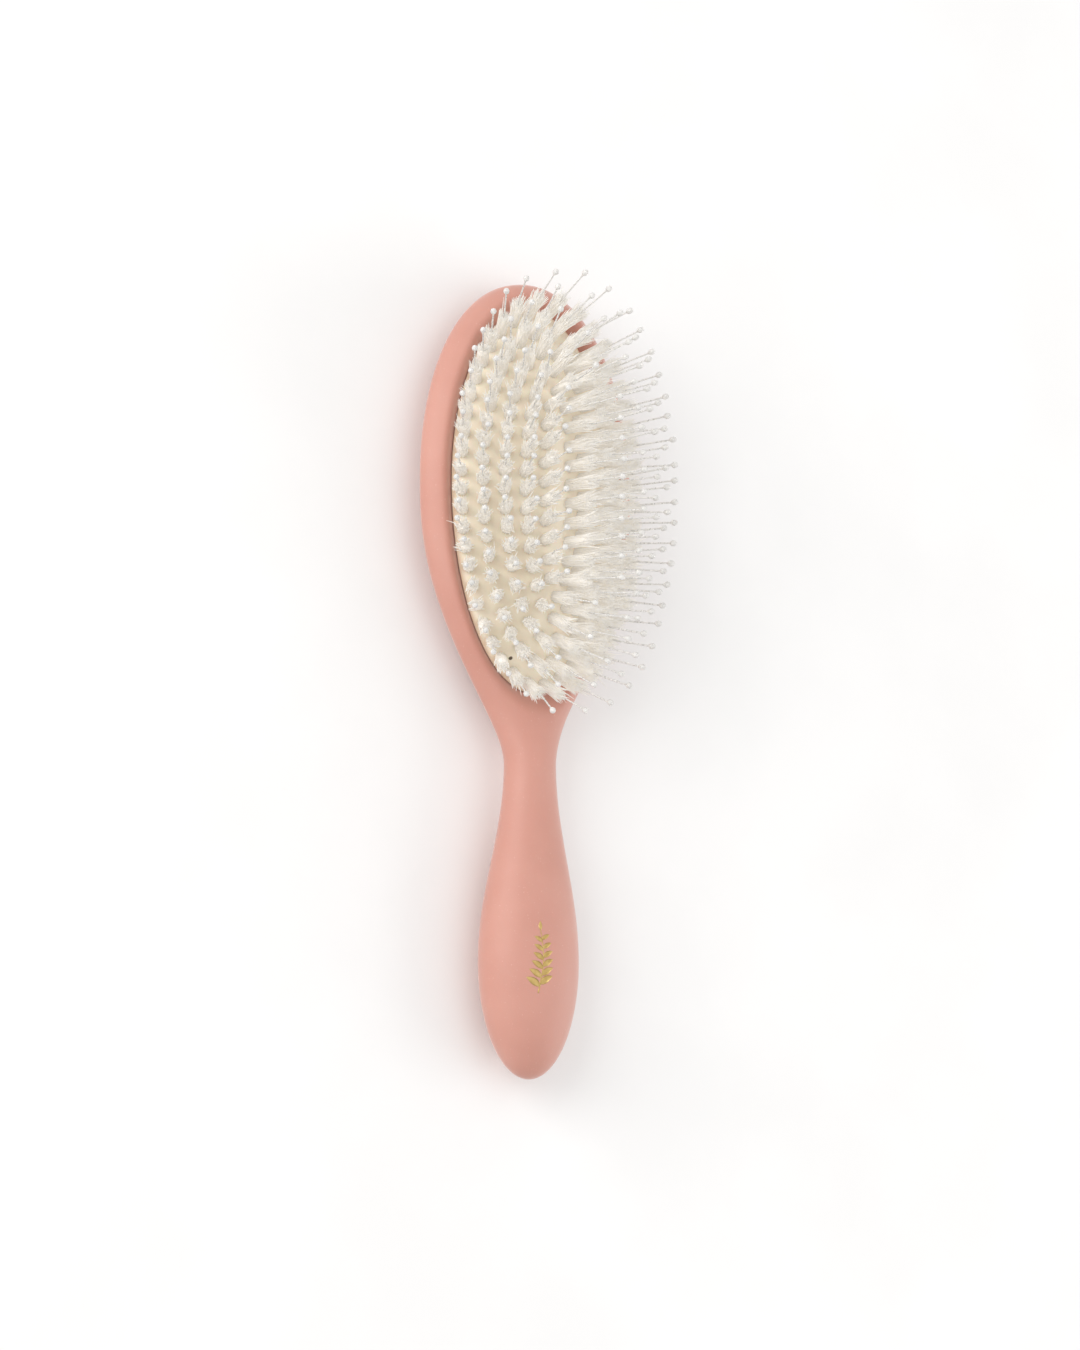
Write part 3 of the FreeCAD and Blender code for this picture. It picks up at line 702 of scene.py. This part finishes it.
def gold_foil():
    """Hot-stamped gold foil: brushed a little, with a fine grain."""
    made = Finish("gold_foil", Metallic=1.0, Roughness=0.3)
    tone = made.noise(700.0, 3.0)
    made.colour(made.mix(tone.between(0.3, 0.7), rgb(190, 160, 98), rgb(208, 180, 118)))
    made.rough(made.noise(1500.0, 3.0).between(0.3, 0.7, 0.36, 0.52))
    made.bump(made.noise(2600.0, 3.0), 0.00003, 0.5)
    return made.material


def floor_paper():
    """Plain white paper with a faint grain."""
    made = Finish("floor_paper", Roughness=0.85, Specular_IOR_Level=0.2)
    made.colour(made.mix(made.noise(14.0, 5.0).between(0.3, 0.7), rgb(240, 239, 238), rgb(244, 243, 242)))
    made.bump(made.noise(420.0, 4.0), 0.0001, 0.15)
    return made.material


# ---- the object ------------------------------------------------------------------------------------------

random = np.random.default_rng(7)
finishes = {
    "soft_touch_body": soft_touch(),
    "cushion_rubber": cushion_rubber(),
    "nylon_bristle": bristle_nylon(),
    "nylon_pin": pin_nylon(),
    "inner_plastic": moulded("inner_white", rgb(214, 212, 206), rgb(226, 224, 219), 0.5),
    "bush_plastic": moulded("bush_natural", rgb(206, 200, 186), rgb(218, 213, 200), 0.45),
    "gold_foil": gold_foil(),
}

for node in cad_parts.values():
    for index, held in enumerate(node.data.materials):
        for name, finish in finishes.items():
            if held is not None and held.name.startswith(name):
                node.data.materials[index] = finish

paddle = make_paddle(finishes["soft_touch_body"])
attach(paddle, "body")
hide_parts("front_shell", "back_shell")

rings = [ring_tufts(ring) for ring in range(RINGS)]

cushion = make_cushion(finishes["cushion_rubber"], np.concatenate([feet for feet, _ in rings]))
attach(cushion, "body")
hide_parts("cushion_pad")
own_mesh(cushion)

for ring, (feet, ways) in enumerate(rings):
    tufts = make_tufts(ring, feet, ways, finishes["nylon_bristle"], random)
    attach(tufts, f"ring_{ring + 1}")
    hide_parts(f"bristle_tufts_ring_{ring + 1}")
    pins = make_pins(ring, feet, ways, finishes["nylon_pin"], random)
    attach(pins, f"ring_{ring + 1}")
    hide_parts(f"ball_pins_ring_{ring + 1}")

sprig = make_sprig(finishes["gold_foil"])
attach(sprig, "body")


# ---- floor, light and camera -----------------------------------------------------------------------------

def add_light(name, place, target, size, power, tint=(1, 1, 1)):
    lamp = bpy.data.lights.new(name, "AREA")
    lamp.shape, lamp.size, lamp.size_y = "RECTANGLE", size[0], size[1]
    lamp.energy, lamp.color = power, tint
    holder = bpy.data.objects.new(name, lamp)
    holder.location = place
    holder.rotation_euler = (Vector(target) - Vector(place)).to_track_quat("-Z", "Y").to_euler()
    bpy.context.scene.collection.objects.link(holder)


def make_floor():
    side = 3.0
    corners = np.array([[-side, -side, 0], [side, -side, 0], [side, side, 0], [-side, side, 0]])
    return add_mesh("floor", corners, [np.array([[0, 1, 2, 3]])], floor_paper(), smooth=False)


def light_studio():
    """White surroundings, a large soft key from the left, and weaker lamps above and to the right."""
    world = bpy.data.worlds.new("studio")
    world.use_nodes = True
    world.node_tree.nodes["Background"].inputs["Color"].default_value = (1, 1, 1, 1)
    world.node_tree.nodes["Background"].inputs["Strength"].default_value = 0.74
    bpy.context.scene.world = world
    middle = (0, 0, 0.015)
    add_light("key", (-1.2, 0.35, 0.60), middle, (0.9, 1.2), 12.0)
    add_light("top", (0.1, 0.3, 1.5), middle, (1.2, 1.6), 2.5)
    add_light("fill", (1.2, -0.3, 0.5), middle, (1.0, 1.0), 6.0)


def place_camera():
    """Long lens over the bristle side, square to the handle's lean; `seen_tall` is the height in view."""
    distance, seen_tall, sensor = 2.0, 0.3824, 36.0
    right = Vector((0.8400, 0.0, 0.5425)).normalized()
    back = Vector((-0.5350, -0.1650, 0.8285)).normalized()
    up = back.cross(right).normalized()
    right = up.cross(back).normalized()
    aim = Vector((0, 0, 0.010)) + right * 0.0041 + up * 0.0004
    lens = bpy.data.cameras.new("camera")
    lens.sensor_fit = "VERTICAL"
    lens.sensor_height = sensor
    lens.lens = sensor * distance / seen_tall
    camera = bpy.data.objects.new("camera", lens)
    turned = Matrix((right, up, back)).transposed().to_4x4()
    camera.matrix_world = Matrix.Translation(aim + back * distance) @ turned
    bpy.context.scene.collection.objects.link(camera)
    bpy.context.scene.camera = camera


make_floor()
bpy.context.scene.view_settings.view_transform = "Standard"
light_studio()
place_camera()
